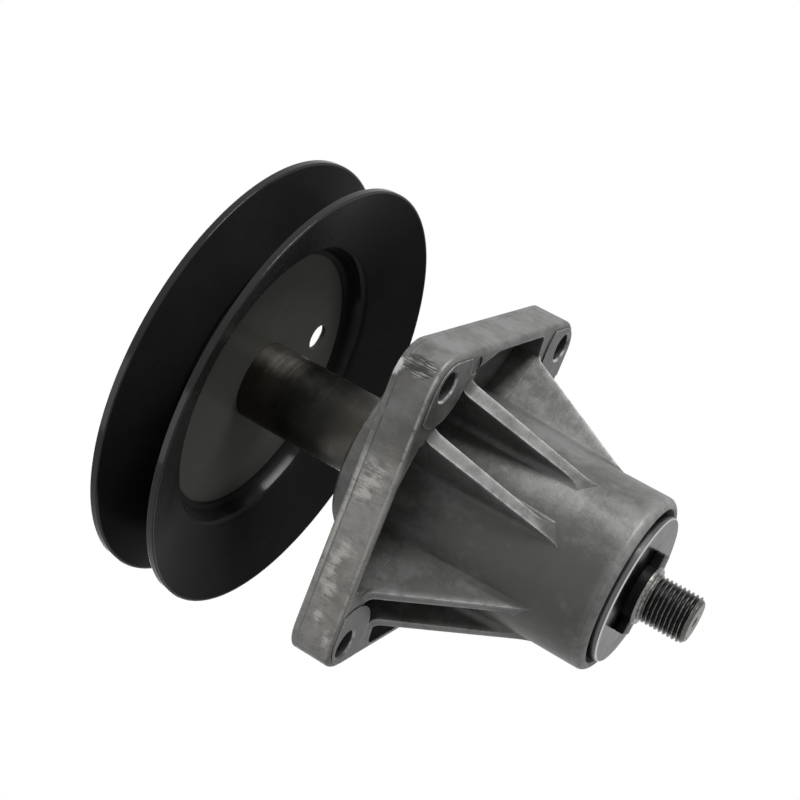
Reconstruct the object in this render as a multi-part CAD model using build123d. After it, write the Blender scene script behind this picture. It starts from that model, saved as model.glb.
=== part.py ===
from build123d import *
import os
from math import cos, pi, radians, sin, sqrt, tan

# Mower deck spindle. Origin at the centre of the flange's deck-side face, +Z towards the pulley.
# All sizes are in millimetres.

# Cast housing: square flange
flange_side = 108.6
flange_height = 14.1
flange_corner_r = 12.0
flange_under_round = 1.8
flange_deck_round = 0.6
deck_plate = 5.5
rim_wall = 2.4
bolt_spacing = 89.7
bolt_hole_r = 4.8
bolt_hole_chamfer = 0.6
spot_face_r = 13.6
spot_face_height = 0.4

# Cast housing: pilot boss and conical core
boss_r = 30.05
boss_height = 14.4
boss_chamfer = 1.0
core_top_r = 32.8
core_nose_r = 30.1
core_nose_length = 19.7
nose_z = -78.74
nose_round = 2.8
nose_recess_r = 27.0
nose_recess_chamfer = 0.5
bearing_shoulder = 3.0

# Cast housing: a pair of gusset ribs at each corner, either side of the bolt trough
rib_spacing = 20.0
rib_thickness = 5.2
rib_foot_thickness = 3.0
rib_root_reach = 49.4
rib_lean = 25.8
rib_root_round = 4.0
rib_base_round = 2.6
rib_base_sink = 0.1
trough_reach = 54.5
trough_round = 4.0
pocket_half_width = 24.5
pocket_round = 3.2
ramp_width = 3.8
ramp_length = 12.7
ejector_mark_r = 3.0
ejector_mark_depth = 0.5
ejector_mark_x = -27.2
ejector_mark_y = -49.1

# Deep-groove ball bearings, 20 x 47 x 14
bearing_bore_r = 10.0
bearing_outer_r = 23.5
bearing_width = 14.0
bearing_round = 0.8
ball_r = 3.969
ball_count = 8
ball_play = 0.02
race_curve_r = 4.13
inner_ring_wall = 4.4
outer_ring_wall = 3.8
seal_seat_wall = 2.9
seal_seat_depth = 1.7
seal_thickness = 1.2
seal_inset = 0.35
seal_lip_gap = 0.2
cage_inner_wall = 1.25
cage_outer_wall = 1.35
cage_back = 0.9
cage_prong = 2.4
cage_ball_gap = 0.08
upper_bearing_inset = 0.5
bearing_nose_gap = 0.5

# Spindle shaft with a threaded stud at each end and a cross bar that drives the blade
shaft_r = bearing_bore_r
stud_r = 8.0
blade_stud_length = 15.84
pulley_stud_length = 21.0
stud_chamfer = 1.4
stud_centre_r = 2.0
collar_r = 9.5
collar_height = 1.0
drive_bar_length = 27.6
drive_bar_width = 9.4
drive_bar_height = 3.0
drive_bar_angle = 108.5
drive_bar_round = 0.4
web_seat_gap = 0.6

# Turned disc under the cross bar
disc_r = 25.27
disc_proud = 2.22
disc_thickness = 6.0
disc_hub_r = 13.0
disc_hub_height = 1.5
disc_chamfer = 0.5

# Spacers on the shaft
spacer_tube_r = 13.76
inner_spacer_r = 13.0

# Belt pulley, two pressed sheaves nested back to back
pulley_r = 76.2
rim_spread = 25.6
groove_mid_z = 61.2
cone_angle = 21.0
sheet = 2.5
web_face_z = 64.6
web_wall_run = 2.5
cone_run = 25.0
web_bend_r = 2.0
cone_bend_r = 3.2
nest_bend_r = 3.0
valley_bend_r = 3.1
nest_gap = 0.12
rim_edge_round = 0.45
low_hole_r = 4.7
low_hole_place_r = 32.8
low_hole_angle = -21.2
low_hole_flare = 1.7
low_hole_flare_height = 1.0
top_hole_r = 7.0
top_hole_place_r = 38.0
top_hole_angle = -14.6

# Top washer and hexagon flange nut
washer_r = 17.5
washer_thickness = 3.0
washer_gap = 0.5
nut_across_flats = 24.0
nut_height = 13.5
nut_flange_r = 16.5
nut_flange_height = 3.0
nut_corner_cut = 30.0
nut_top_edge = 0.6

# Places worked out from the sizes above
rib_offset = rib_spacing / 2
rib_outer_wall = rib_offset + rib_thickness / 2
rib_inner_wall = rib_offset - rib_thickness / 2
rim_inner = flange_side / 2 - rim_wall
core_bore_r = bearing_outer_r - bearing_shoulder
ball_pitch_r = (bearing_bore_r + bearing_outer_r) / 2
inner_land_r = bearing_bore_r + inner_ring_wall
outer_land_r = bearing_outer_r - outer_ring_wall
seal_seat_r = bearing_outer_r - seal_seat_wall
cage_inner_r = ball_pitch_r - cage_inner_wall
cage_outer_r = ball_pitch_r + cage_outer_wall
upper_bearing_top = boss_height - upper_bearing_inset
upper_bearing_bottom = upper_bearing_top - bearing_width
disc_face_z = nose_z - disc_proud
disc_back_z = disc_face_z + disc_thickness
lower_bearing_bottom = disc_back_z + disc_hub_height
lower_bearing_top = lower_bearing_bottom + bearing_width
nose_recess_top = lower_bearing_bottom - bearing_nose_gap
core_foot_z = nose_z + core_nose_length
bar_face_z = disc_face_z - drive_bar_height
collar_face_z = bar_face_z - collar_height
blade_stud_end = collar_face_z - blade_stud_length
rim_low_z = groove_mid_z - rim_spread / 2
rim_high_z = groove_mid_z + rim_spread / 2
web_top_z = web_face_z + 2 * sheet
shaft_seat_top = web_top_z - web_seat_gap
pulley_stud_end = shaft_seat_top + pulley_stud_length
cone_root_r = pulley_r - cone_run
web_wall_r = cone_root_r - web_wall_run
washer_top_z = web_top_z + washer_thickness


# A round bar or sleeve between two heights
def sleeve(outer_r, inner_r, low, high):
    height = high - low
    middle = Pos(0, 0, (low + high) / 2)
    body = Cylinder(outer_r, height)
    if inner_r > 0:
        body -= Cylinder(inner_r, height)
    return middle * body


# A solid of revolution about the Z axis from corners given as (radius, height)
def turned(corners):
    outline = Polyline(*[(r, 0, z) for r, z in corners], close=True)
    return revolve(make_face(outline), Axis.Z, 360)


# Turn a piece about Z once for each corner or side of the flange
def four_turns(piece, first_angle=0):
    return [Rot(0, 0, first_angle + 90 * quarter) * piece for quarter in range(4)]


# The flange as a full-height square plate
def flange_plate():
    plan = RectangleRounded(flange_side, flange_side, flange_corner_r)
    plate = extrude(plan, amount=flange_height, dir=(0, 0, -1))
    plate = fillet(plate.edges().group_by(Axis.Z)[0], flange_under_round)
    return fillet(plate.edges().group_by(Axis.Z)[-1], flange_deck_round)


# The hollow under the flange between the ribs of two corners, on the -Y side
def side_pocket():
    crest_x = (rib_root_reach - rib_outer_wall) / sqrt(2)
    crest_y = (rib_root_reach + rib_outer_wall) / sqrt(2)
    corners = [
        (0, -sqrt(2) * rib_outer_wall),
        (-crest_x, -crest_y),
        (-pocket_half_width, -rim_inner),
        (pocket_half_width, -rim_inner),
        (crest_x, -crest_y),
    ]
    plan = make_face(Polyline(*corners, close=True))
    rim_corners = plan.vertices().sort_by(Axis.Y)[:2]
    plan = fillet(rim_corners, pocket_round)
    return Pos(0, 0, -deck_plate) * extrude(plan, amount=flange_height, dir=(0, 0, -1))


# The trough between one pair of ribs, along +X before it is turned to its corner
def bolt_trough():
    start = core_top_r / 2
    length = trough_reach - start
    plan = Pos(start + length / 2, 0) * Rectangle(length, 2 * rib_inner_wall)
    plan = fillet(plan.vertices().sort_by(Axis.X)[-2:], trough_round)
    return Pos(0, 0, -deck_plate) * extrude(plan, amount=flange_height, dir=(0, 0, -1))


# Plan of the core and the eight ribs at one height, with a round where each rib meets the core
def ribbed_plan(radius, thickness, height):
    length = 2 * (rib_root_reach + rib_root_round)
    bar = Rectangle(length, thickness)
    bars = [Rot(0, 0, turn) * Pos(0, side * rib_offset) * bar for turn in (45, 135) for side in (-1, 1)]
    plan = Circle(radius) + bars
    corners = [v for v in plan.vertices() if abs(sqrt(v.X**2 + v.Y**2) - radius) < 0.01]
    return Pos(0, 0, height) * fillet(corners, rib_base_round)


# The space inside the sloping crests of two facing pairs of ribs, along X before it is turned
def crest_limit():
    foot_reach = rib_root_reach - (-flange_height - core_foot_z) * tan(radians(rib_lean))
    outer = rib_root_reach + rib_root_round
    right = [
        (outer, 0, -deck_plate),
        (outer, 0, -flange_height),
        (rib_root_reach, 0, -flange_height),
        (foot_reach, 0, core_foot_z),
    ]
    left = [(-x, y, z) for x, y, z in reversed(right)]
    profile = make_face(Polyline(*right, *left, close=True))
    roots = [v for v in profile.vertices() if abs(abs(v.X) - rib_root_reach) < 0.01]
    profile = fillet(roots, rib_root_round)
    return extrude(profile, amount=flange_side, dir=(0, 1, 0), both=True)


# The eight ribs in pairs at the corners, thinner towards the nose and cut by their crests
def ribs():
    top = ribbed_plan(core_top_r - rib_base_sink, rib_thickness, -deck_plate)
    foot = ribbed_plan(core_nose_r - rib_base_sink, rib_foot_thickness, core_foot_z)
    webs = loft([top.face(), foot.face()], ruled=True)
    return webs & (Rot(0, 0, 45) * crest_limit()) & (Rot(0, 0, 135) * crest_limit())


# The core with its slight taper and rounded nose, and the pilot boss above the flange
def core():
    corners = [
        (0, 0, boss_height),
        (boss_r, 0, boss_height),
        (boss_r, 0, -deck_plate / 2),
        (core_top_r, 0, -deck_plate / 2),
        (core_nose_r, 0, core_foot_z),
        (core_nose_r, 0, nose_z),
        (0, 0, nose_z),
    ]
    profile = make_face(Polyline(*corners, close=True))
    nose_corner = profile.vertices().sort_by_distance((core_nose_r, 0, nose_z))[0]
    profile = fillet(nose_corner, nose_round)
    boss_corner = profile.vertices().sort_by_distance((boss_r, 0, boss_height))[0]
    profile = chamfer(boss_corner, boss_chamfer)
    return revolve(profile, Axis.Z, 360)


# Thickening along the rim that runs out of the pads at the (-X, -Y) corner
def rim_ramp():
    edge = -flange_side / 2 + flange_under_round
    corners = [
        (-pocket_half_width - ramp_width, -rim_inner + ramp_width),
        (-pocket_half_width, -rim_inner + ramp_width),
        (-pocket_half_width + ramp_length, -rim_inner),
        (-pocket_half_width + ramp_length, edge),
        (-pocket_half_width - ramp_width, edge),
    ]
    plan = make_face(Polyline(*corners, close=True))
    return Pos(0, 0, -deck_plate) * extrude(plan, amount=flange_height - deck_plate, dir=(0, 0, -1))


# Raised pad round a bolt hole on the underside
def spot_face(x, y):
    low = -flange_height - spot_face_height
    pad = Pos(x, y, 0) * sleeve(spot_face_r, 0, low, -deck_plate)
    inside = flange_side - 2 * flange_under_round
    limit = RectangleRounded(inside, inside, flange_corner_r - flange_under_round)
    return pad & (Pos(0, 0, low) * extrude(limit, amount=flange_height, dir=(0, 0, 1)))


# A bolt hole with a small chamfer at its lower mouth
def bolt_hole(x, y):
    low = -flange_height - spot_face_height
    wide = bolt_hole_r + bolt_hole_chamfer
    corners = [
        (0, 0),
        (bolt_hole_r, 0),
        (bolt_hole_r, low + bolt_hole_chamfer),
        (wide, low),
        (0, low),
    ]
    return Pos(x, y, 0) * turned(corners)


# Everything bored along the axis: both bearing seats, the shoulder bore and the nose recess
def housing_bore():
    corners = [
        (0, boss_height),
        (bearing_outer_r, boss_height),
        (bearing_outer_r, upper_bearing_bottom),
        (core_bore_r, upper_bearing_bottom),
        (core_bore_r, lower_bearing_top),
        (bearing_outer_r, lower_bearing_top),
        (bearing_outer_r, nose_recess_top),
        (nose_recess_r, nose_recess_top),
        (nose_recess_r, nose_z + nose_recess_chamfer),
        (nose_recess_r + nose_recess_chamfer, nose_z),
        (0, nose_z),
    ]
    return turned(corners)


# The cast housing in one piece
def housing():
    body = flange_plate()
    body -= four_turns(side_pocket())
    body -= four_turns(bolt_trough(), 45)
    body += [rim_ramp(), mirror(rim_ramp(), Plane((0, 0, 0), z_dir=(1, -1, 0)))]
    half = bolt_spacing / 2
    places = [(x, y) for x in (-half, half) for y in (-half, half)]
    body += [spot_face(x, y) for x, y in places]
    body += core()
    body += ribs()
    body -= [bolt_hole(x, y) for x, y in places]
    body -= housing_bore()
    mark_top = -flange_height + ejector_mark_depth
    return body - Pos(ejector_mark_x, ejector_mark_y, 0) * sleeve(ejector_mark_r, 0, -2 * flange_height, mark_top)


# Outer ring of a bearing, with its ball race and a seat for each seal
def outer_ring(bottom):
    top = bottom + bearing_width
    corners = [
        (outer_land_r, 0, bottom + seal_seat_depth),
        (seal_seat_r, 0, bottom + seal_seat_depth),
        (seal_seat_r, 0, bottom),
        (bearing_outer_r - bearing_round, 0, bottom),
        (bearing_outer_r, 0, bottom + bearing_round),
        (bearing_outer_r, 0, top - bearing_round),
        (bearing_outer_r - bearing_round, 0, top),
        (seal_seat_r, 0, top),
        (seal_seat_r, 0, top - seal_seat_depth),
        (outer_land_r, 0, top - seal_seat_depth),
    ]
    race_r = ball_pitch_r + ball_r + ball_play - race_curve_r
    return race_turned(corners, race_r, bottom)


# Inner ring of a bearing
def inner_ring(bottom):
    top = bottom + bearing_width
    corners = [
        (bearing_bore_r, 0, bottom),
        (inner_land_r, 0, bottom),
        (inner_land_r, 0, top),
        (bearing_bore_r, 0, top),
    ]
    race_r = ball_pitch_r - ball_r - ball_play + race_curve_r
    return race_turned(corners, race_r, bottom)


# Turn a ring's section with its ball race cut out
def race_turned(corners, race_r, bottom):
    section = make_face(Polyline(*corners, close=True))
    race_plane = Plane((race_r, 0, bottom + bearing_width / 2), x_dir=(1, 0, 0), z_dir=(0, -1, 0))
    section -= race_plane * Circle(race_curve_r)
    return revolve(section, Axis.Z, 360)


# Place one copy of a piece at each ball of a bearing
def at_balls(piece, bottom):
    middle = bottom + bearing_width / 2
    step = 2 * pi / ball_count
    angles = [step * number for number in range(ball_count)]
    return [Pos(ball_pitch_r * cos(a), ball_pitch_r * sin(a), middle) * piece for a in angles]


# The set of balls of one bearing
def balls(bottom):
    return Compound(children=at_balls(Sphere(ball_r), bottom))


# Moulded snap cage: a closed ring above the balls, with prongs that reach down between them
def cage(bottom):
    middle = bottom + bearing_width / 2
    pocket_r = ball_r + cage_ball_gap
    ring = sleeve(cage_outer_r, cage_inner_r, middle - cage_prong, middle + pocket_r + cage_back)
    return ring - at_balls(Sphere(pocket_r), bottom)


# Rubber seal with a thin lip towards the inner ring, pressed into the outer ring
def seal(face, inward):
    lip = inner_land_r + seal_lip_gap
    corners = [
        (lip, face + inward * seal_thickness / 4),
        (lip + seal_thickness, face),
        (seal_seat_r, face),
        (seal_seat_r, face + inward * seal_thickness),
        (lip + seal_thickness, face + inward * seal_thickness),
        (lip, face + inward * seal_thickness * 3 / 4),
    ]
    return turned(corners)


# Shaft, both studs, the collar and the cross bar, forged and turned in one piece
def spindle_shaft():
    corners = [
        (0, blade_stud_end + stud_centre_r),
        (stud_centre_r, blade_stud_end),
        (stud_r - stud_chamfer, blade_stud_end),
        (stud_r, blade_stud_end + stud_chamfer),
        (stud_r, collar_face_z),
        (collar_r, collar_face_z),
        (shaft_r, bar_face_z),
        (shaft_r, shaft_seat_top),
        (stud_r, shaft_seat_top),
        (stud_r, pulley_stud_end - stud_chamfer),
        (stud_r - stud_chamfer, pulley_stud_end),
        (stud_centre_r, pulley_stud_end),
        (0, pulley_stud_end - stud_centre_r),
    ]
    bar = Box(drive_bar_length, drive_bar_width, drive_bar_height)
    bar = fillet(bar.edges().filter_by(Axis.Z) + bar.edges().group_by(Axis.Z)[0], drive_bar_round)
    bar = Pos(0, 0, (bar_face_z + disc_face_z) / 2) * Rot(0, 0, drive_bar_angle) * bar
    return turned(corners) + bar


# Ground disc that closes the nose and stands on the lower bearing's inner ring
def nose_disc():
    corners = [
        (shaft_r, disc_face_z),
        (disc_r - disc_chamfer, disc_face_z),
        (disc_r, disc_face_z + disc_chamfer),
        (disc_r, disc_back_z - disc_chamfer),
        (disc_r - disc_chamfer, disc_back_z),
        (disc_hub_r, disc_back_z),
        (disc_hub_r, lower_bearing_bottom),
        (shaft_r, lower_bearing_bottom),
    ]
    return turned(corners)


# Turn a strip of sheet whose lower face follows corners given as (radius, height, bend radius)
def pressed(corners):
    points = [Vector(r, 0, z) for r, z, bend in corners]
    runs = [(end - start).normalized() for start, end in zip(points, points[1:])]
    ups = [Vector(-run.Z, 0, run.X) for run in runs]
    inner_shifts = [(a + b) / (1 + a.dot(b)) for a, b in zip(ups, ups[1:])]
    shifts = [ups[0]] + inner_shifts + [ups[-1]]
    top_points = [point + shift * sheet for point, shift in zip(points, shifts)]
    bends = [bend for r, z, bend in corners[1:-1]]
    drops = [before.cross(after).Y > 0 for before, after in zip(runs, runs[1:])]
    top_bends = [bend + sheet if drop else bend - sheet for bend, drop in zip(bends, drops)]
    low_face = FilletPolyline(*points, radius=bends)
    top_face = FilletPolyline(*top_points, radius=top_bends)
    ends = [Line(points[0], top_points[0]), Line(points[-1], top_points[-1])]
    strip = make_face(low_face.edges() + top_face.edges() + ends)
    return revolve(strip, Axis.Z, 360)


# Cut the rim to size, round its two edges and bore the shaft hole
def finish_sheave(blank):
    rim = sleeve(pulley_r, shaft_r, rim_low_z - sheet, rim_high_z + sheet)
    blank &= rim
    circles = blank.edges().filter_by(GeomType.CIRCLE)
    rim_edges = [edge for edge in circles if abs(edge.radius - pulley_r) < 0.01]
    return fillet(rim_edges, rim_edge_round)


# Place a round hole's cutter at its distance and angle from the axis
def at_angle(cutter, place_r, angle):
    return Rot(0, 0, angle) * Pos(place_r, 0, 0) * cutter


# Sheave nearer the deck: flat web, short drawn wall and belt cone
def lower_sheave():
    slope = tan(radians(cone_angle))
    over = pulley_r + sheet
    corners = [
        (shaft_r, web_face_z, 0),
        (web_wall_r, web_face_z, web_bend_r),
        (cone_root_r, rim_low_z + (pulley_r - cone_root_r) * slope, cone_bend_r),
        (over, rim_low_z - (over - pulley_r) * slope, 0),
    ]
    back = web_face_z + sheet
    hole = [
        (0, web_face_z),
        (low_hole_r, web_face_z),
        (low_hole_r, back - low_hole_flare_height),
        (low_hole_r + low_hole_flare, back),
        (0, back),
    ]
    return finish_sheave(pressed(corners)) - at_angle(turned(hole), low_hole_place_r, low_hole_angle)


# Sheave on top: its wall nests outside the lower one's, then its cone rises to the rim
def upper_sheave():
    slope = tan(radians(cone_angle))
    wall_height = web_face_z - rim_low_z - (pulley_r - cone_root_r) * slope
    wall_length = sqrt(wall_height**2 + web_wall_run**2)
    lean = web_wall_run / wall_height
    web_low = web_face_z + sheet
    wall_out = (sheet + nest_gap) * wall_length / wall_height
    bend_in = web_wall_r + wall_out - sheet * lean
    cone_low = rim_high_z - sheet / cos(radians(cone_angle))
    cone_at_bend = cone_low - (pulley_r - bend_in) * slope
    drop = (web_low - cone_at_bend) / (1 + slope * lean)
    over = pulley_r + sheet
    corners = [
        (shaft_r, web_low, 0),
        (bend_in, web_low, nest_bend_r),
        (bend_in + drop * lean, web_low - drop, valley_bend_r),
        (over, cone_low + (over - pulley_r) * slope, 0),
    ]
    hole = sleeve(top_hole_r, 0, web_low, web_top_z)
    return finish_sheave(pressed(corners)) - at_angle(hole, top_hole_place_r, top_hole_angle)


# Hexagon flange nut with its corners cut back at the top
def pulley_nut():
    flange_top = washer_top_z + nut_flange_height
    nut_top = washer_top_z + nut_height
    hexagon = RegularPolygon(nut_across_flats / 2, 6, major_radius=False)
    body = Pos(0, 0, washer_top_z) * extrude(hexagon, amount=nut_height)
    corner_r = nut_across_flats / 2 / cos(pi / 6)
    cut_drop = (corner_r - nut_across_flats / 2 + nut_top_edge) * tan(radians(nut_corner_cut))
    limit = [
        (0, washer_top_z),
        (corner_r, washer_top_z),
        (corner_r, nut_top - cut_drop),
        (nut_across_flats / 2 - nut_top_edge, nut_top),
        (0, nut_top),
    ]
    skirt = [
        (0, washer_top_z),
        (nut_flange_r, washer_top_z),
        (nut_flange_r, washer_top_z + nut_flange_height / 3),
        (nut_across_flats / 2, flange_top),
        (0, flange_top),
    ]
    body = (body & turned(limit)) + turned(skirt)
    return body - sleeve(stud_r, 0, washer_top_z, nut_top)


# Name every piece and write one file for each
def main():
    upper = upper_bearing_bottom
    lower = lower_bearing_bottom
    low_face = seal_inset
    high_face = bearing_width - seal_inset
    pieces = {
        "housing": housing(),
        "upper_bearing_outer_ring": outer_ring(upper),
        "upper_bearing_inner_ring": inner_ring(upper),
        "upper_bearing_balls": balls(upper),
        "upper_bearing_cage": cage(upper),
        "upper_bearing_top_seal": seal(upper + high_face, -1),
        "upper_bearing_bottom_seal": seal(upper + low_face, 1),
        "lower_bearing_outer_ring": outer_ring(lower),
        "lower_bearing_inner_ring": inner_ring(lower),
        "lower_bearing_balls": balls(lower),
        "lower_bearing_cage": cage(lower),
        "lower_bearing_top_seal": seal(lower + high_face, -1),
        "lower_bearing_bottom_seal": seal(lower + low_face, 1),
        "spindle_shaft": spindle_shaft(),
        "inner_spacer": sleeve(inner_spacer_r, shaft_r, lower_bearing_top, upper_bearing_bottom),
        "spacer_tube": sleeve(spacer_tube_r, shaft_r, upper_bearing_top, web_face_z),
        "lower_sheave": lower_sheave(),
        "upper_sheave": upper_sheave(),
        "pulley_washer": sleeve(washer_r, stud_r + washer_gap, web_top_z, washer_top_z),
        "pulley_nut": pulley_nut(),
        "nose_disc": nose_disc(),
    }
    os.makedirs("parts", exist_ok=True)
    for name, piece in pieces.items():
        export_step(piece, f"parts/{name}.step")
        print(name, "written")


main()
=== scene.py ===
import math
import bpy
from mathutils import Matrix, Vector


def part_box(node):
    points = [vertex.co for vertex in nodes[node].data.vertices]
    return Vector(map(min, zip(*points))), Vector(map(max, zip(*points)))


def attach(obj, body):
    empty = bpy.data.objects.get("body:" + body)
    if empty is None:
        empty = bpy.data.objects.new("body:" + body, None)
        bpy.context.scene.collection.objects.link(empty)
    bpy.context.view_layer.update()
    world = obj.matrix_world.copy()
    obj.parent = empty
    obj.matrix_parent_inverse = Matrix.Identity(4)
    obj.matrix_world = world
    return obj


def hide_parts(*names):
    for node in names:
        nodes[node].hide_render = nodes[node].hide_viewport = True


# Mower deck spindle: finishes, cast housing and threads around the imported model. All sizes are in metres.
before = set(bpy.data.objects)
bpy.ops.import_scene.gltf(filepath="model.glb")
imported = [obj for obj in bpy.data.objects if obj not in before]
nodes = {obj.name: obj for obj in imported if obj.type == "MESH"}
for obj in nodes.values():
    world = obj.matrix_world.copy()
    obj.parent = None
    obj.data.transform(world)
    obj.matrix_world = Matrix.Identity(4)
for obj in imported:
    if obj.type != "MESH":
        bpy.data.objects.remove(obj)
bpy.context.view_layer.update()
print("frame loaded with", len(nodes), "nodes")


# A shader value that can be written in sums, differences and products
class Tone:
    def __init__(self, paint, socket):
        self.paint = paint
        self.socket = socket

    def join(self, operation, first, second):
        return self.paint.node("ShaderNodeMath", {"operation": operation}, {0: first, 1: second})

    def __add__(self, other):
        return self.join("ADD", self, other)

    def __radd__(self, other):
        return self.join("ADD", other, self)

    def __sub__(self, other):
        return self.join("SUBTRACT", self, other)

    def __rsub__(self, other):
        return self.join("SUBTRACT", other, self)

    def __mul__(self, other):
        return self.join("MULTIPLY", self, other)

    def __rmul__(self, other):
        return self.join("MULTIPLY", other, self)


# A material, and the few kinds of pattern that its finishes are made of
class Paint:
    def __init__(self, name, fixed, tree=None):
        if tree is None:
            self.material = bpy.data.materials.new(name)
            self.material.use_nodes = True
            tree = self.material.node_tree
        self.tree = tree
        for socket, value in fixed.items():  # the same all over the surface
            tree.nodes["Principled BSDF"].inputs[socket].default_value = value
        self.place = self.node("ShaderNodeTexCoord", output="Object")

    def node(self, kind, settings={}, sockets={}, output=0):
        made = self.tree.nodes.new(kind)
        for name, value in settings.items():
            setattr(made, name, value)
        for name, value in sockets.items():
            self.feed(made.inputs[name], value)
        return Tone(self, made.outputs[output])

    def feed(self, socket, value):
        if isinstance(value, Tone):
            self.tree.links.new(value.socket, socket)
        else:
            socket.default_value = value

    def finish(self, **sockets):
        for name, value in sockets.items():
            self.feed(self.tree.nodes["Principled BSDF"].inputs[name.replace("_", " ")], value)

    def axis(self, name):
        return self.node("ShaderNodeSeparateXYZ", sockets={0: self.place}, output=name)

    def noise(self, grain, detail=3.0, rough=0.55, stretch=(1, 1, 1), shift=0.0):
        sockets = {"Vector": self.place, "Scale": stretch, "Location": (shift, shift, shift)}
        moved = self.node("ShaderNodeMapping", {}, sockets)
        sockets = {"Vector": moved, "Scale": 1 / grain, "Detail": detail, "Roughness": rough}
        return self.node("ShaderNodeTexNoise", {}, sockets)

    def fade(self, value, low, high, start=0.0, end=1.0):  # from start to end as value goes from low to high
        sockets = {"Value": value, "From Min": low, "From Max": high, "To Min": start, "To Max": end}
        return self.node("ShaderNodeMapRange", {"interpolation_type": "SMOOTHSTEP"}, sockets)

    def vector(self, operation, first, second=(0, 0, 0), output=0):
        return self.node("ShaderNodeVectorMath", {"operation": operation}, {0: first, 1: second}, output)

    def near(self, middle, reach):  # 1 in the middle of a spot, down to 0 at its reach along each axis
        away = self.vector("SUBTRACT", self.place, middle)
        gap = self.vector("LENGTH", self.vector("DIVIDE", away, reach), output="Value")
        return self.fade(gap, 0.0, 1.0, 1.0, 0.0)

    def fromAxis(self, place=None):  # distance from the shaft's axis
        flat = self.vector("MULTIPLY", place or self.place, (1, 1, 0))
        return self.vector("LENGTH", flat, output="Value")

    def ringNoise(self, grain, detail=2.0):  # the marks a lathe leaves, alike all the way round
        line = self.node("ShaderNodeCombineXYZ", sockets={"X": self.fromAxis(), "Y": self.axis("Z")})
        sockets = {"Vector": line, "Scale": 1 / grain, "Detail": detail}
        return self.node("ShaderNodeTexNoise", {}, sockets)

    def nearby(self, reach, inside):  # 0 where other surface is close by, outside or within the piece
        settings = {"samples": 6, "inside": inside, "only_local": True}
        return self.node("ShaderNodeAmbientOcclusion", settings, {"Distance": reach}, "AO")

    def worn(self, low, high):  # 1 on outer edges and corners
        edge = self.node("ShaderNodeNewGeometry", output="Pointiness")
        return self.fade(edge, low, high)

    def blend(self, share, first, second):  # two colours
        sockets = {0: share, 6: first, 7: second}
        return self.node("ShaderNodeMix", {"data_type": "RGBA", "clamp_factor": True}, sockets, 2)

    def seen(self):  # 1 for what camera, mirrors and glass see, 0 for the light that falls on things
        rays = ("Is Camera Ray", "Is Glossy Ray", "Is Transmission Ray")
        return sum(self.node("ShaderNodeLightPath", output=ray) for ray in rays)

    def bump(self, height, distance, normal=None):
        sockets = {"Height": height, "Distance": distance}
        if normal:
            sockets["Normal"] = normal
        return self.node("ShaderNodeBump", {}, sockets)


def colour(red, green, blue):
    return (red, green, blue, 1.0)


def grey(level):
    return (level, level, level, 1.0)


noiseRange = (0.3, 0.7)  # where most of a noise's values lie


# Camera, fitted to the photograph
cameraSettings = {
    "eye": (-0.4968, -0.2036, -0.1765),
    "right": (0.4478, -0.3448, -0.8250),
    "up": (0.1549, -0.8788, 0.4513),
    "forward": (0.8806, 0.3299, 0.3401),
    "lensLength": 78.325,  # millimetres, on a sensor 36 wide
    "sensorWidth": 36.0,
}


def addCamera():
    lens = bpy.data.cameras.new("photoCamera")
    lens.lens = cameraSettings["lensLength"]
    lens.sensor_width = cameraSettings["sensorWidth"]
    lens.clip_start = 0.01
    camera = bpy.data.objects.new("photoCamera", lens)
    back = -Vector(cameraSettings["forward"])
    turn = Matrix((cameraSettings["right"], cameraSettings["up"], back)).transposed().to_4x4()
    camera.matrix_world = Matrix.Translation(cameraSettings["eye"]) @ turn
    bpy.context.scene.collection.objects.link(camera)
    bpy.context.scene.camera = camera
    print("camera placed")


# World, softboxes and floor
studioSettings = {
    "skyUp": (0.155, -0.879, 0.451),  # the room's soft light is strongest from here, and weakest from behind
    "skyRange": (-0.75, 0.75),
    "skyStrength": (0.10, 0.40),
    "floorHeight": -0.2,
    "floorRadius": 1.6,
    "floorAround": 96,
    "floorShader": {"Roughness": 0.9, "Specular IOR Level": 0.1, "Emission Strength": 0.28},
    "floorColours": (grey(0.84), grey(0.86)),
    "floorGrain": 0.004,
    "floorBounce": grey(0.48),  # the floor throws this much light back on the object
    "softboxes": [
        {
            "name": "keySoftbox",
            "direction": (-0.10, -0.92, -0.15),
            "distance": 0.70,
            "size": (0.45, 0.20),
            "spread": 80,  # degrees, narrowed by a grid so that little of it falls on the floor
            "power": 1.12,
        },
        {
            "name": "sideSoftbox",
            "direction": (-0.80, 0.25, 0.55),
            "distance": 0.85,
            "size": (0.5, 0.5),
            "spread": 180,
            "power": 1.25,
        },
        {
            "name": "farSoftbox",
            "direction": (0.75, 0.45, 0.60),
            "distance": 0.9,
            "size": (0.6, 0.6),
            "spread": 180,
            "power": 4.0,
        },
    ],
}


def addWorld():
    world = bpy.data.worlds.new("paleRoom")
    world.use_nodes = True
    bpy.context.scene.world = world
    room = Paint("paleRoom", {}, world.node_tree)
    generated = room.node("ShaderNodeTexCoord", output="Generated")
    along = room.vector("DOT_PRODUCT", generated, studioSettings["skyUp"], "Value")
    soft = room.fade(along, *studioSettings["skyRange"], *studioSettings["skyStrength"])
    seen = room.seen()  # metal shows the white background too
    background = room.tree.nodes["Background"]
    background.inputs["Color"].default_value = grey(1.0)
    room.feed(background.inputs["Strength"], seen + (1 - seen) * soft)


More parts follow.
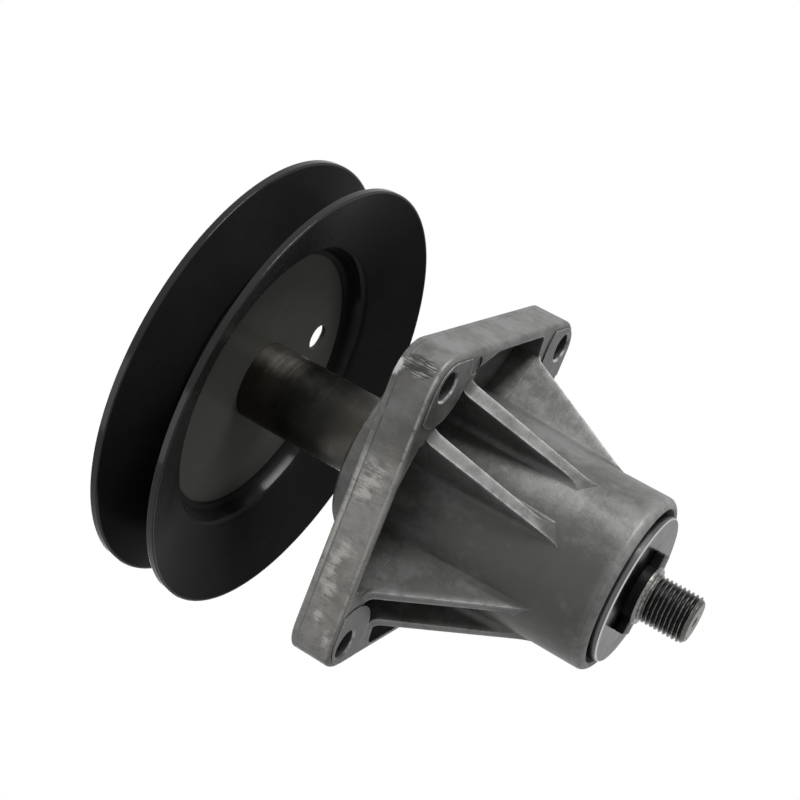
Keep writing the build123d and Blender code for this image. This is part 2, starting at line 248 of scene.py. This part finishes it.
def addSoftbox(box):
    lamp = bpy.data.lights.new(box["name"], "AREA")
    lamp.energy = box["power"]
    lamp.shape = "RECTANGLE"
    lamp.size, lamp.size_y = box["size"]
    lamp.spread = math.radians(box["spread"])
    holder = bpy.data.objects.new(box["name"], lamp)
    direction = Vector(box["direction"]).normalized()
    holder.location = direction * box["distance"]
    holder.rotation_euler = direction.to_track_quat("Z", "Y").to_euler()
    holder.visible_camera = False
    bpy.context.scene.collection.objects.link(holder)


def addFloor():
    radius = studioSettings["floorRadius"]
    around = studioSettings["floorAround"]
    turns = [2 * math.pi * step / around for step in range(around)]
    rim = [(radius * math.cos(a), radius * math.sin(a), studioSettings["floorHeight"]) for a in turns]
    mesh = bpy.data.meshes.new("studioFloor")
    mesh.from_pydata(rim, [], [list(range(around))])
    floor = bpy.data.objects.new("studioFloor", mesh)
    bpy.context.scene.collection.objects.link(floor)
    paint = Paint("floorPaper", studioSettings["floorShader"])
    pale = paint.blend(paint.noise(studioSettings["floorGrain"]), *studioSettings["floorColours"])
    seen = paint.seen()
    paint.finish(
        Base_Color=paint.blend(seen, studioSettings["floorBounce"], pale),
        Emission_Color=paint.blend(seen, grey(0.0), grey(1.0)),
    )
    mesh.materials.append(paint.material)


def addStudio():
    bpy.context.scene.view_settings.view_transform = "Standard"
    addWorld()
    for box in studioSettings["softboxes"]:
        addSoftbox(box)
    addFloor()
    print("studio lit")


def addPiece(name, mesh, paint, body, slot, *replaced):
    piece = bpy.data.objects.new(name, mesh)
    bpy.context.scene.collection.objects.link(piece)
    mesh.materials.clear()
    mesh.materials.append(paint.material)
    for face in mesh.polygons:
        face.use_smooth = True
        face.material_index = 0
    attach(piece, body)
    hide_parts(*replaced)


def giveFinish(paint, *names):
    for name in names:
        node = nodes[name]
        if not node.material_slots:
            node.data.materials.append(paint.material)
        for slot in node.material_slots:
            slot.material = paint.material


# Cast housing
# A range is (from, to), with the share at each end after it where that isn't 0 and 1.
# A band has two ranges, where it rises and where it falls. A mix has each pattern's share.
castingSettings = {
    "shader": {"Metallic": 0.22, "Specular IOR Level": 0.35},
    "plain": colour(0.152, 0.152, 0.150),
    "shade": colour(0.078, 0.078, 0.075),
    "stain": colour(0.102, 0.097, 0.083),
    # painted shade, laid in hollows, on the narrow ledge and on one pad
    "paintedShade": colour(0.038, 0.037, 0.033),
    "bare": colour(0.52, 0.52, 0.515),
    "chalky": colour(0.42, 0.41, 0.385),
    "brown": colour(0.170, 0.150, 0.120),
    # painted shade inside the bolt holes
    "holeShade": grey(0.07),
    "patch": grey(0.026),
    "patterns": {  # size, detail, roughness, stretch and shift of each noise
        "cloud": (0.014, 4.0, 0.6, (1, 1, 0.6)),
        "mottle": (0.0036, 3.0, 0.6, (1, 1, 1), 0.3),
        "grain": (0.0006, 2.0, 0.6),
        "drag": (0.0013, 4.0, 0.75, (1, 1.8, 0.3), 0.9),  # strokes along the spindle
        "stains": (0.012, 4.0, 0.65, (1, 1, 1), 0.7),
        "hatch": (0.0005, 2.0, 0.6, (1, 1, 0.1), 0.2),
    },
    "toneMix": {"cloud": 0.65, "mottle": 0.25, "grain": 0.1},
    "toneRange": (0.40, 0.60),
    "coreShadeAlong": (-0.028, -0.004),  # painted shade: the core is darker from here on along Y
    "coreShadeHeight": (-0.030, -0.018, 1.0, 0.0),
    "coreShadeShare": 0.11,
    "stainRange": (0.50, 0.68, 0.0, 0.5),
    "hollowReach": 0.0075,  # how far the painted shade spreads out of an inner corner
    "hollowRange": (0.30, 0.85, 0.8, 0.0),
    "hollowMottle": (0.3, 0.6, 0.6, 1.0),
    "crestReach": 0.0034,  # how far wear spreads over a narrow crest
    "crestRange": (0.50, 0.85, 0.52, 0.0),
    "crestHeight": (-0.0165, -0.0143, 0.8, 0.0),
    "crestMottle": (0.3, 0.6, 0.5, 1.0),
    "edgeReach": 0.0010,  # and from an outer edge
    "edgeRange": (0.45, 0.85, 1.0, 0.0),
    "edgeOpenness": (0.55, 0.75),
    "edgeMix": {"mottle": 0.6, "grain": 0.4},
    "edgeMottle": (0.36, 0.60, 0.15, 1.0),
    "edgeShare": 0.9,
    "edgeRound": 0.0005,
    "ledge": ((-0.0143, -0.0142), (-0.0140, -0.0139)),
    "ledgeOpenness": (0.70, 0.95, 1.0, 0.0),
    "sideRange": (-0.0527, -0.0517, 1.0, 0.0),  # the flange's -X side
    "lip": ((-0.0138, -0.0131), (-0.0131, -0.0123)),  # its lower edge
    "lipMix": {"cloud": 0.4, "mottle": 0.6},
    "lipRange": (0.36, 0.48, 0.15, 1.0),
    "seamHighlight": ((-0.0021, -0.0017), (-0.0012, -0.0006)),  # a painted highlight along the ridge beside the parting line
    "seamHighlightStart": (-0.022, -0.014),
    "seamHighlightEnd": (0.014, 0.026, 1.0, 0.0),
    "sideMix": {"mottle": 0.5, "drag": 0.5},
    "seamHighlightRange": (0.36, 0.52, 0.1, 0.9),
    "lipAndSeamGrain": (0.3, 0.6, 0.6, 1.0),
    "dustAlong": (-0.026, -0.014),
    "dustRange": (0.32, 0.58, 0.4, 1.0),
    "dustShare": 0.42,
    "rubs": [  # middle and reach of each rubbed place
        ((-0.0543, -0.0130, -0.0064), (0.002, 0.0100, 0.0080)),
        ((-0.0543, -0.0055, -0.0052), (0.002, 0.0052, 0.0050)),
        ((-0.0543, 0.0115, -0.0070), (0.002, 0.0085, 0.0056)),
        ((-0.0543, 0.0185, -0.0050), (0.002, 0.0070, 0.0040)),
        ((-0.0543, 0.0262, -0.0062), (0.002, 0.0075, 0.0058)),
        ((-0.0543, 0.0355, -0.0070), (0.002, 0.0060, 0.0046)),
        ((-0.0543, 0.0425, -0.0115), (0.002, 0.0058, 0.0032)),
    ],
    "rubInside": (0.02, 0.25),
    "rubRange": (0.30, 1.25, 0.0, 0.92),
    "rubBreaks": {"mottle": 2.2, "drag": 2.4},
    "brownRubs": [
        ((-0.0543, -0.0212, -0.0094), (0.002, 0.0070, 0.0042)),
        ((-0.0543, 0.0292, -0.0103), (0.002, 0.0080, 0.0036)),
        ((-0.0543, 0.0180, -0.0070), (0.002, 0.0120, 0.0050)),
    ],
    "brownStroke": (0.36, 0.58, 0.25, 1.0),
    "brownShare": 0.75,
    # painted highlight: a bright patch on the rounded corner
    "cornerHighlight": [((-0.0535, -0.0465, 0.0002), (0.0035, 0.0058, 0.0050))],
    "spotInside": (0.02, 0.2),
    "spotRange": (0.2, 0.7),
    "spotBreaks": {"mottle": 1.2},
    # painted shade on the pad at the +Y corner, which the core keeps from the key light
    "shadedPad": [((-0.0450, 0.0450, -0.0141), (0.0170, 0.0170, 0.0030))],
    "padShadeShare": 0.55,
    "darkPatch": [((-0.0524, -0.0490, -0.0066), (0.0055, 0.0052, 0.0078))],
    "patchRange": (0.12, 0.36),
    "patchDark": (0.46, 0.56, 1.0, 0.0),
    "patchDarkShare": 0.85,
    "patchBright": (0.54, 0.64, 0.0, 0.5),
    "boltPlace": (0.04485, 0.04485, 0.0),
    "boltWall": (0.0049, 0.0050, 1.0, 0.0),  # distances from the bolt hole's axis
    "boltRing": (0.0054, 0.0056, 1.0, 0.0),
    "boltMouth": (-0.0139, -0.0138, 1.0, 0.0),
    "boltMottle": (0.40, 0.58, 0.15, 0.9),
    "noseRecess": (0.0272, 0.0273, 1.0, 0.0),  # the machined recess that the disc sits in
    "recessHeight": (-0.0701, -0.0700, 1.0, 0.0),
    "noseFace": (-0.0772, -0.0770, 1.0, 0.0),
    "noseRim": (0.0272, 0.0290, 0.15, 0.0),
    "rimMottle": (0.3, 0.55, 0.3, 1.0),
    "seam": ((-0.0025, -0.0022), (-0.0022, -0.0019)),  # the parting line
    "seamRadius": (0.050, 0.052),
    "seamMottle": (0.35, 0.6, 0.2, 1.0),
    "relief": {"mottle": 0.00014, "grain": 0.00003},
    "rubRelief": 0.00004,
    "patchRelief": 0.00012,
    "seamRelief": 0.0002,
    "roughMix": {"cloud": 0.5, "grain": 0.5},
    "roughRange": (0.2, 0.7, 0.32, 0.50),
    "edgePolish": 0.12,
    "rubPolish": 0.1,
    "noseRough": 0.12,
}


# The housing's paint, with its patterns and the colour laid on so far
class CastPaint(Paint):
    def __init__(self):
        Paint.__init__(self, "castAluminium", castingSettings["shader"])
        patterns = castingSettings["patterns"]
        self.patterns = {name: self.noise(*patterns[name]) for name in patterns}
        self.height = self.axis("Z")
        self.along = self.axis("Y")
        self.tint = castingSettings["shade"]

    def mixed(self, name):  # patterns added up by their shares
        shares = castingSettings[name]
        return sum(self.patterns[pattern] * shares[pattern] for pattern in shares)

    def ranged(self, value, name):
        return self.fade(value, *castingSettings[name])

    def band(self, value, name):
        rise, fall = castingSettings[name]
        return self.fade(value, *rise) - self.fade(value, *fall)

    def spots(self, name):
        return sum(self.near(middle, reach) for middle, reach in castingSettings[name])

    def broken(self, value, name):  # patterns break up its outline
        for pattern, share in castingSettings[name].items():
            value = value + (self.patterns[pattern] - 0.5) * share  # a noise is 0.5 on average
        return value

    def cover(self, share, name):
        self.tint = self.blend(share, self.tint, castingSettings[name])


def toneAndShadeCasting(paint):
    # Painted shade: the core below the flange turns darker towards +Y, away from the key light
    paintedCoreShade = paint.ranged(paint.along, "coreShadeAlong") * paint.ranged(paint.height, "coreShadeHeight")
    tone = paint.mixed("toneMix") - paintedCoreShade * castingSettings["coreShadeShare"]
    paint.cover(paint.ranged(tone, "toneRange"), "plain")
    paint.cover(paint.ranged(paint.patterns["stains"], "stainRange"), "stain")


def wearAndShadeCasting(paint):
    mottle = paint.patterns["mottle"]
    # Inner corners and hollows are darkened, broken up by mottle: painted shade
    openness = paint.nearby(castingSettings["hollowReach"], False)
    paint.cover(paint.ranged(openness, "hollowRange") * paint.ranged(mottle, "hollowMottle"), "paintedShade")
    crest = paint.ranged(paint.nearby(castingSettings["crestReach"], True), "crestRange")
    crest = crest * paint.ranged(paint.height, "crestHeight")  # on the ribs, not on the flange's thin walls
    paint.cover(crest * paint.ranged(mottle, "crestMottle"), "bare")
    edge = paint.ranged(paint.nearby(castingSettings["edgeReach"], True), "edgeRange")
    edge = edge * paint.ranged(openness, "edgeOpenness")  # wear doesn't reach into the pockets
    ledge = paint.band(paint.height, "ledge") * paint.ranged(openness, "ledgeOpenness")
    edge = edge * (1 - ledge)
    paint.cover(ledge, "paintedShade")  # painted shade on the narrow ledge where the ribs' draft starts
    bareEdge = edge * paint.ranged(paint.mixed("edgeMix"), "edgeMottle")
    paint.cover(bareEdge * castingSettings["edgeShare"], "bare")
    return edge, bareEdge


def rubSideWithPaintedLight(paint):
    side = paint.ranged(paint.axis("X"), "sideRange")
    scuffsAndHighlights = paint.band(paint.height, "lip") * paint.ranged(paint.mixed("lipMix"), "lipRange")
    # Painted highlight: a thin bright line beside the parting line, on the -X side; the lip's scuffs are
    # real wear
    seamHighlight = paint.band(paint.height, "seamHighlight") * paint.ranged(paint.mixed("sideMix"), "seamHighlightRange")
    seamHighlight = seamHighlight * paint.ranged(paint.along, "seamHighlightStart") * paint.ranged(paint.along, "seamHighlightEnd")
    scuffsAndHighlights = (scuffsAndHighlights + seamHighlight) * side
    paint.cover(scuffsAndHighlights * paint.ranged(paint.patterns["grain"], "lipAndSeamGrain"), "chalky")
    dusty = side * paint.ranged(paint.along, "dustAlong") * paint.ranged(paint.mixed("sideMix"), "dustRange")
    paint.cover(dusty * castingSettings["dustShare"], "chalky")
    brown = paint.spots("brownRubs") * paint.ranged(paint.patterns["drag"], "brownStroke")
    paint.cover(brown * castingSettings["brownShare"], "brown")
    rubs = paint.spots("rubs")
    rubbed = paint.ranged(rubs, "rubInside") * paint.ranged(paint.broken(rubs, "rubBreaks"), "rubRange")
    paint.cover(rubbed, "chalky")
    # Painted highlight: a bright patch on the rounded corner beside the hatching
    spot = paint.spots("cornerHighlight")
    highlightShape = paint.ranged(paint.broken(spot, "spotBreaks"), "spotRange")
    paint.cover(paint.ranged(spot, "spotInside") * highlightShape, "bare")
    # Painted shade darkens the pad at the +Y corner
    paint.cover(paint.spots("shadedPad") * castingSettings["padShadeShare"], "paintedShade")
    return rubbed


def hatchCorner(paint):  # one corner is hatched dark and bright, as if filed
    hatch = paint.patterns["hatch"]
    patch = paint.ranged(paint.spots("darkPatch"), "patchRange")
    dark = patch * paint.ranged(hatch, "patchDark")
    paint.cover(dark * castingSettings["patchDarkShare"], "patch")
    paint.cover(patch * paint.ranged(hatch, "patchBright"), "chalky")
    return dark


def boresAndHoleShade(paint):
    mottle = paint.patterns["mottle"]
    mirrored = paint.vector("ABSOLUTE", paint.place)  # one corner stands for all four
    toBolt = paint.fromAxis(paint.vector("SUBTRACT", mirrored, castingSettings["boltPlace"]))
    # Painted shade darkens the bolt holes' walls
    paint.cover(paint.ranged(toBolt, "boltWall"), "holeShade")
    mouth = paint.ranged(toBolt, "boltRing") * paint.ranged(paint.height, "boltMouth")
    paint.cover(mouth * paint.ranged(mottle, "boltMottle"), "bare")
    radius = paint.fromAxis()
    nose = paint.ranged(paint.height, "noseFace")
    paint.cover(paint.ranged(radius, "noseRecess") * paint.ranged(paint.height, "recessHeight"), "bare")
    rim = nose * paint.ranged(radius, "noseRim")
    paint.cover(rim * paint.ranged(mottle, "rimMottle"), "chalky")
    seam = paint.band(paint.height, "seam") * paint.ranged(radius, "seamRadius")
    return nose, seam * paint.ranged(mottle, "seamMottle")


def paintCasting():
    paint = CastPaint()
    toneAndShadeCasting(paint)
    edge, bareEdge = wearAndShadeCasting(paint)
    rubbed = rubSideWithPaintedLight(paint)
    dark = hatchCorner(paint)
    nose, seam = boresAndHoleShade(paint)
    relief = paint.mixed("relief") + rubbed * castingSettings["rubRelief"]
    relief = relief - dark * castingSettings["patchRelief"] + seam * castingSettings["seamRelief"]
    rough = paint.mixed("roughMix") - bareEdge * castingSettings["edgePolish"]
    rough = rough - rubbed * castingSettings["rubPolish"]
    soft = paint.node("ShaderNodeBevel", {"samples": 4}, {"Radius": castingSettings["edgeRound"]})
    flat = paint.node("ShaderNodeNewGeometry", output="Normal")
    facing = paint.node("ShaderNodeMix", {"data_type": "VECTOR"}, {0: edge, 4: flat, 5: soft}, 1)
    paint.finish(
        Base_Color=paint.tint,
        Roughness=paint.ranged(rough, "roughRange") + nose * castingSettings["noseRough"],
        Normal=paint.bump(relief, 1.0, normal=facing),
    )
    giveFinish(paint, "housing")
    print("housing finished")


# Shaft with both threads, and the cross bar under its collar
shaftSettings = {
    "around": 96,
    "studRadius": 0.008,
    "shaftRadius": 0.010,
    "collarRadius": 0.0095,
    "collarFace": -0.08496,
    "barFace": -0.08396,
    "seatTop": 0.0690,
    "endFlat": 0.0066,  # radius of the flat end inside its chamfer
    "centreMark": 0.0020,
    "pitch": 0.0015,
    "threadDepth": 0.00082,
    "crestFlat": 0.10,  # of half a pitch
    "flank": 0.62,
    "rowsPerPitch": 12,
    "runOut": 0.0018,  # the thread fades out over this length
    "smoothAngle": 34,
    "bossTop": -0.0808,  # the boss between the bar's ends is black as the bar is
    "bossEdge": 0.0001,
    "shader": {"IOR": 1.12},
    "turning": 0.0002,
    "patches": (0.0016, 3.0, 0.65),
    "crestRadii": (0.00735, 0.00795),
    "crestPatches": (0.30, 0.55, 0.35, 1.0),
    "faceHeights": (0.0008, 0.0014, 1.0, 0.0),  # over the lower end
    "facePatches": (0.3, 0.6, 0.5, 1.0),
    "faceSmooth": 0.8,
    "turningRelief": 0.00002,
    "patchRelief": 0.00008,
    "roughness": (0.24, 0.42),
    "clean": colour(0.24, 0.235, 0.225),
    "oiled": grey(0.014),
    "endFace": colour(0.130, 0.124, 0.114),
    "black": grey(0.006),
}


def threadDip(phase):  # 0 on a crest, 1 in a root
    away = abs((phase % 1.0) - 0.5) * 2
    return min(1.0, max(0.0, (1 - away - shaftSettings["crestFlat"]) / shaftSettings["flank"]))


def studRows(end, inner, upward):
    sign = 1 if upward else -1
    rows = [(end - sign * shaftSettings["centreMark"], 0.0, 0.0)]
    rows.append((end, shaftSettings["centreMark"], 0.0))
    rows.append((end, shaftSettings["endFlat"], 0.0))
    step = shaftSettings["pitch"] / shaftSettings["rowsPerPitch"]
    count = int(abs(end - inner) / step)
    for number in range(1, count + 1):
        height = end - sign * number * step
        chamfer = shaftSettings["endFlat"] + number * step  # at 45 degrees
        radius = min(shaftSettings["studRadius"], chamfer)
        deep = min(1.0, abs(height - inner) / shaftSettings["runOut"])
        rows.append((height, radius, deep))
    rows.append((inner, shaftSettings["studRadius"], 0.0))
    return rows


def revolve(name, rows, around, radiusAt):
    points = []
    faces = []
    for height, radius, deep in rows:
        for step in range(around):
            angle = 2 * math.pi * step / around
            reach = radiusAt(height, radius, deep, angle)
            points.append((reach * math.cos(angle), reach * math.sin(angle), height))
    for row in range(len(rows) - 1):
        for step in range(around):
            onward = (step + 1) % around
            low = row * around
            high = low + around
            faces.append((low + step, low + onward, high + onward, high + step))
    mesh = bpy.data.meshes.new(name)
    mesh.from_pydata(points, [], faces)
    mesh.update()
    return mesh


def threadRadius(height, radius, deep, angle):
    if deep == 0:
        return radius
    dip = threadDip(height / shaftSettings["pitch"] - angle / (2 * math.pi))
    bottom = shaftSettings["studRadius"] - shaftSettings["threadDepth"] * deep * dip
    return min(radius, bottom)


def paintShaft(lowEnd):
    paint = Paint("threadSteel", shaftSettings["shader"])
    rings = paint.ringNoise(shaftSettings["turning"])
    patchy = paint.noise(*shaftSettings["patches"])
    crest = paint.fade(paint.fromAxis(), *shaftSettings["crestRadii"])
    crest = crest * paint.fade(patchy, *shaftSettings["crestPatches"])
    height = paint.axis("Z")
    blur = shaftSettings["bossEdge"]
    low, high = shaftSettings["barFace"] - blur, shaftSettings["bossTop"]
    boss = paint.fade(height, low, low + blur) * paint.fade(height, high, high + blur, 1.0, 0.0)
    tint = paint.blend(crest, shaftSettings["oiled"], shaftSettings["clean"])
    face = paint.fade(height - lowEnd, *shaftSettings["faceHeights"])
    bareFace = face * paint.fade(patchy, *shaftSettings["facePatches"])
    tint = paint.blend(bareFace, tint, shaftSettings["endFace"])
    patchRelief = patchy * (1 - face * shaftSettings["faceSmooth"]) * shaftSettings["patchRelief"]
    paint.finish(
        Base_Color=paint.blend(boss, tint, shaftSettings["black"]),
        Metallic=1 - boss,
        Roughness=paint.fade(patchy, *noiseRange, *shaftSettings["roughness"]),
        Normal=paint.bump(rings * shaftSettings["turningRelief"] + patchRelief, 1.0),
    )
    return paint


def makeShaft():
    low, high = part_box("spindle_shaft")
    rows = studRows(low.z, shaftSettings["collarFace"], False)
    rows.append((shaftSettings["collarFace"], shaftSettings["collarRadius"], 0.0))
    rows.append((shaftSettings["barFace"], shaftSettings["shaftRadius"], 0.0))
    rows.append((shaftSettings["seatTop"], shaftSettings["shaftRadius"], 0.0))
    rows += reversed(studRows(high.z, shaftSettings["seatTop"], True))
    mesh = revolve("threadedShaft", rows, shaftSettings["around"], threadRadius)
    addPiece("threadedShaft", mesh, paintShaft(low.z), "rotor", "shaft_steel", "spindle_shaft")
    mesh.set_sharp_from_angle(angle=math.radians(shaftSettings["smoothAngle"]))
    print("shaft threaded,", len(mesh.polygons), "faces")


barSettings = {
    "length": 0.0276,
    "width": 0.0094,
    "height": 0.003,
    "top": -0.08096,
    "angle": 108.5,
    "bevel": 0.0005,
    "bevelSteps": 4,
    "shader": {"IOR": 1.12},
    "black": grey(0.007),
    "scraped": grey(0.20),
    "scrapes": (0.0009, 3.0, 0.7),
    "scrapeRange": (0.5, 0.62),
    "edgeRange": (0.53, 0.62),
    "roughness": (0.18, 0.38),
    "relief": 0.00008,
}


def makeDriveBar():
    paint = Paint("blackOxide", barSettings["shader"])
    scrape = paint.noise(*barSettings["scrapes"])
    bare = paint.worn(*barSettings["edgeRange"]) * paint.fade(scrape, *barSettings["scrapeRange"])
    paint.finish(
        Base_Color=paint.blend(bare, barSettings["black"], barSettings["scraped"]),
        Metallic=bare,
        Roughness=paint.fade(scrape, *noiseRange, *barSettings["roughness"]),
        Normal=paint.bump(scrape, barSettings["relief"]),
    )
    ends = (-barSettings["length"] / 2, barSettings["length"] / 2)
    sides = (-barSettings["width"] / 2, barSettings["width"] / 2)
    levels = (barSettings["top"] - barSettings["height"], barSettings["top"])
    points = [(x, y, z) for z in levels for x in ends for y in sides]
    faces = [(0, 1, 3, 2), (4, 6, 7, 5), (0, 4, 5, 1), (2, 3, 7, 6), (0, 2, 6, 4), (1, 5, 7, 3)]
    mesh = bpy.data.meshes.new("driveBar")
    mesh.from_pydata(points, [], faces)
    block = bpy.data.objects.new("driveBarBlock", mesh)
    bpy.context.scene.collection.objects.link(block)
    edge = block.modifiers.new("edge", "BEVEL")
    edge.width = barSettings["bevel"]
    edge.segments = barSettings["bevelSteps"]
    finished = bpy.data.meshes.new_from_object(block.evaluated_get(bpy.context.evaluated_depsgraph_get()))
    bpy.data.objects.remove(block)
    finished.transform(Matrix.Rotation(math.radians(barSettings["angle"]), 4, "Z"))
    addPiece("driveBar", finished, paint, "rotor", "shaft_steel", "spindle_shaft")
    print("drive bar made")


# Black coated sheaves
coatSettings = {
    "shader": {"IOR": 1.05, "Coat Roughness": 0.12},
    "black": grey(0.0135),
    "dusty": grey(0.0230),
    # painted sheen: the web is lighter and olive where the coat shines
    "web": colour(0.0900, 0.0900, 0.0810),
    "webEdge": (0.0460, 0.0470, 1.0, 0.0),
    "peel": (0.0018, 2.0, 0.5),  # the coat's fine waves, like orange peel
    "cloud": (0.03, 3.0, 0.6),
    "dustMix": (0.8, 0.2),  # of cloud and peel
    "dustRange": (0.35, 0.7),
    "dustShare": 0.5,
    "smoothEdges": [  # rubbed smooth, so they shine, from one radius over the next to the last
        (0.0494, 0.0505, 0.0522, 0.20),
        (0.0752, 0.0758, 0.0790, 0.45),
    ],
    "roughMix": (0.7, 0.3),
    "roughness": (0.22, 0.30),
    "relief": 0.000004,
}


def mixTwo(first, second, shares):
    return first * shares[0] + second * shares[1]


def paintSheaves():
    paint = Paint("blackCoat", coatSettings["shader"])
    peel = paint.noise(*coatSettings["peel"])
    cloud = paint.noise(*coatSettings["cloud"])
    radius = paint.fromAxis()
    dust = paint.fade(mixTwo(cloud, peel, coatSettings["dustMix"]), *coatSettings["dustRange"])
    tint = paint.blend(dust * coatSettings["dustShare"], coatSettings["black"], coatSettings["dusty"])
    # Painted sheen: the web inside this radius is lighter
    web = paint.fade(radius, *coatSettings["webEdge"])
    shine = sum(
        paint.fade(radius, low, middle) * paint.fade(radius, middle, high, weight, 0.0)
        for low, middle, high, weight in coatSettings["smoothEdges"]
    )
    rough = mixTwo(cloud, peel, coatSettings["roughMix"])
    paint.finish(
        Base_Color=paint.blend(web, tint, coatSettings["web"]),
        Roughness=paint.fade(rough, *noiseRange, *coatSettings["roughness"]),
        Coat_Weight=shine,
        Normal=paint.bump(peel, coatSettings["relief"]),
    )
    giveFinish(paint, "lower_sheave", "upper_sheave")
    print("sheaves coated")


# Spacer tube, dark from oil and brown where it was heated at the ends, with two painted highlights
tubeSettings = {
    "shader": {"Metallic": 1.0},
    "oiled": colour(0.048, 0.047, 0.042),
    "brown": colour(0.080, 0.072, 0.058),
    "lowBrown": (0.0139, 0.0339, 1.0, 0.0),  # heights along the tube
    "highBrown": (0.0426, 0.0606),
    "brownPatches": (0.3, 0.65, 0.35, 1.0),
    "turning": 0.0004,
    "cloud": (0.009, 3.0, 0.6),
    "mix": (0.5, 0.5),
    # painted highlights: a bright patch on top at the web end, a dimmer one underneath at the flange end
    "paintedHighlights": [
        ((-0.0040, -0.0131, 0.0600), (0.0120, 0.0090, 0.0150), colour(0.42, 0.40, 0.36)),
        ((-0.0131, 0.0044, 0.0262), (0.0040, 0.0060, 0.0080), colour(0.140, 0.133, 0.118)),
    ],
    "highlightRange": (0.3, 0.6, 0.5, 1.0),
    "roughness": (0.30, 0.44),
    "relief": 0.00001,
}


def paintTube():
    paint = Paint("tubeSteel", tubeSettings["shader"])
    height = paint.axis("Z")
    rings = paint.ringNoise(tubeSettings["turning"])
    cloud = paint.noise(*tubeSettings["cloud"])
    ends = paint.fade(height, *tubeSettings["lowBrown"]) + paint.fade(height, *tubeSettings["highBrown"])
    brown = ends * paint.fade(cloud, *tubeSettings["brownPatches"])
    tint = paint.blend(brown, tubeSettings["oiled"], tubeSettings["brown"])
    mixed = mixTwo(rings, cloud, tubeSettings["mix"])
    # Painted highlights, laid as lighter patches
    for middle, reach, highlightTint in tubeSettings["paintedHighlights"]:
        scuffsAndHighlights = paint.near(middle, reach) * paint.fade(mixed, *tubeSettings["highlightRange"])
        tint = paint.blend(scuffsAndHighlights, tint, highlightTint)
    paint.finish(
        Base_Color=tint,
        Roughness=paint.fade(mixed, *noiseRange, *tubeSettings["roughness"]),
        Normal=paint.bump(rings, tubeSettings["relief"]),
    )
    giveFinish(paint, "spacer_tube")
    print("tube finished")


# Ground disc that closes the nose
discSettings = {
    "shader": {"Metallic": 1.0, "Specular Tint": grey(0.72)},
    "bright": grey(0.068),
    "dull": grey(0.042),
    "side": grey(0.11),
    # painted highlight: the chamfer is made a bright ring all round
    "chamfer": grey(0.60),
    "chamferEdge": (0.0247, 0.0248),
    "sideEdge": (0.02512, 0.02522),
    "turning": (0.0003, 3.0),
    "cloud": (0.007, 3.0, 0.6),
    "roughMix": (0.4, 0.6),
    "roughness": (0.12, 0.24),
    "relief": 0.000012,
}


def paintDisc():
    paint = Paint("groundSteel", discSettings["shader"])
    rings = paint.ringNoise(*discSettings["turning"])
    cloud = paint.noise(*discSettings["cloud"])
    radius = paint.fromAxis()
    tint = paint.blend(paint.fade(cloud, *noiseRange), discSettings["bright"], discSettings["dull"])
    # Painted highlight: the chamfer ring is far lighter than the face
    chamfer = paint.fade(radius, *discSettings["chamferEdge"])
    tint = paint.blend(chamfer, tint, discSettings["chamfer"])
    side = paint.fade(radius, *discSettings["sideEdge"])
    rough = mixTwo(rings, cloud, discSettings["roughMix"])
    paint.finish(
        Base_Color=paint.blend(side, tint, discSettings["side"]),
        Roughness=paint.fade(rough, *noiseRange, *discSettings["roughness"]),
        Normal=paint.bump(rings, discSettings["relief"]),
    )
    giveFinish(paint, "nose_disc")
    print("disc finished")


# Bearings inside the housing, and the nut and washer on top
# Each finish has its grain, its two colours and its roughness
hardwareSettings = {
    "ringSteel": (0.0002, grey(0.50), grey(0.62), 0.10, 0.20),
    "ballSteel": (0.0004, grey(0.62), grey(0.70), 0.04, 0.08),
    "washerSteel": (0.0003, grey(0.34), grey(0.46), 0.24, 0.38),
    "platedSteel": (0.0003, colour(0.50, 0.49, 0.45), colour(0.60, 0.59, 0.56), 0.22, 0.34),
    "cagePlastic": (0.0008, colour(0.56, 0.50, 0.36), colour(0.66, 0.60, 0.46), 0.4, 0.5),
    "sealRubber": (0.0006, grey(0.014), grey(0.028), 0.5, 0.66),
    "cloud": (0.004, 3.0, 0.6),
    "roughMix": (0.5, 0.5),
    "steelShader": {"Metallic": 1.0},
    "steelRelief": 0.00001,
    "softShader": {"IOR": 1.45},
    "softNoise": (3.0, 0.6),
    "softRelief": 0.00003,
}


def steelFinish(name, *pieces):
    grain, dull, bright, low, high = hardwareSettings[name]
    paint = Paint(name, hardwareSettings["steelShader"])
    rings = paint.ringNoise(grain)
    cloud = paint.noise(*hardwareSettings["cloud"])
    rough = mixTwo(cloud, rings, hardwareSettings["roughMix"])
    paint.finish(
        Base_Color=paint.blend(paint.fade(cloud, *noiseRange), dull, bright),
        Roughness=paint.fade(rough, *noiseRange, low, high),
        Normal=paint.bump(rings, hardwareSettings["steelRelief"]),
    )
    giveFinish(paint, *pieces)


def softFinish(name, *pieces):
    grain, dark, light, low, high = hardwareSettings[name]
    paint = Paint(name, hardwareSettings["softShader"])
    speckle = paint.noise(grain, *hardwareSettings["softNoise"])
    paint.finish(
        Base_Color=paint.blend(speckle, dark, light),
        Roughness=paint.fade(speckle, *noiseRange, low, high),
        Normal=paint.bump(speckle, hardwareSettings["softRelief"]),
    )
    giveFinish(paint, *pieces)


def paintHardware():
    rings = [f"{end}_bearing_{ring}_ring" for end in ("upper", "lower") for ring in ("inner", "outer")]
    seals = [f"{end}_bearing_{face}_seal" for end in ("upper", "lower") for face in ("top", "bottom")]
    steelFinish("ringSteel", *rings)
    steelFinish("ballSteel", "upper_bearing_balls", "lower_bearing_balls")
    steelFinish("washerSteel", "pulley_washer", "inner_spacer")
    steelFinish("platedSteel", "pulley_nut")
    softFinish("cagePlastic", "upper_bearing_cage", "lower_bearing_cage")
    softFinish("sealRubber", *seals)
    print("bearings and fasteners finished")


addCamera()
addStudio()
paintCasting()
makeShaft()
makeDriveBar()
paintSheaves()
paintTube()
paintDisc()
paintHardware()
